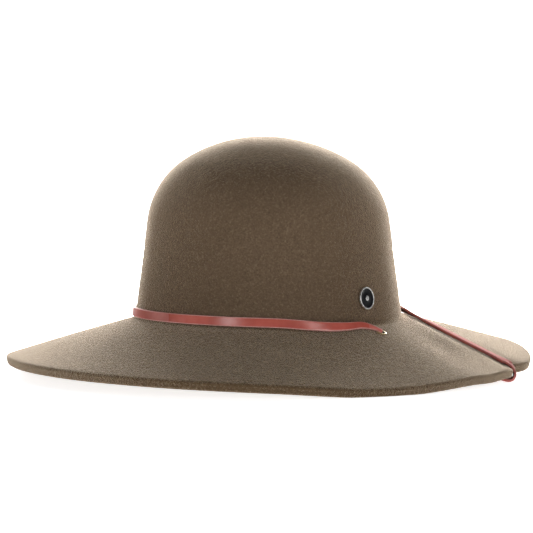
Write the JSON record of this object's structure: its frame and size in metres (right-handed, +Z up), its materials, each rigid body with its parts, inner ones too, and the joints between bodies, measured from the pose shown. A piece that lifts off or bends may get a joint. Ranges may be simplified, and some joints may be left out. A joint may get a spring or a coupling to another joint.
{
  "type": "wool felt hat",
  "caption": "Floppy felt hat with an open round crown, a wide drooping brim, a flat leather lace tied from crown to brim edge through an eyelet, and a round pin badge.",
  "frame": {"origin": "on the surface that the hat lies on, under the middle of its bounding box", "axes": "+Z up through the crown, -Y towards the wearer's front, +X towards the wearer's left"},
  "size_m": [0.3388, 0.3716, 0.152],
  "materials": {
    "felt": "brushed olive brown wool felt",
    "lace": "smooth russet leather",
    "eyelet": "pale gold, polished",
    "badge": "polished silver metal",
    "enamel": "gloss black enamel"
  },
  "bodies": {
    "root": {"felt_body": "felt", "lace": "lace", "eyelet": "eyelet", "badge": "badge", "badge_enamel": "enamel", "badge_button": "badge"}
  },
  "joints": []
}
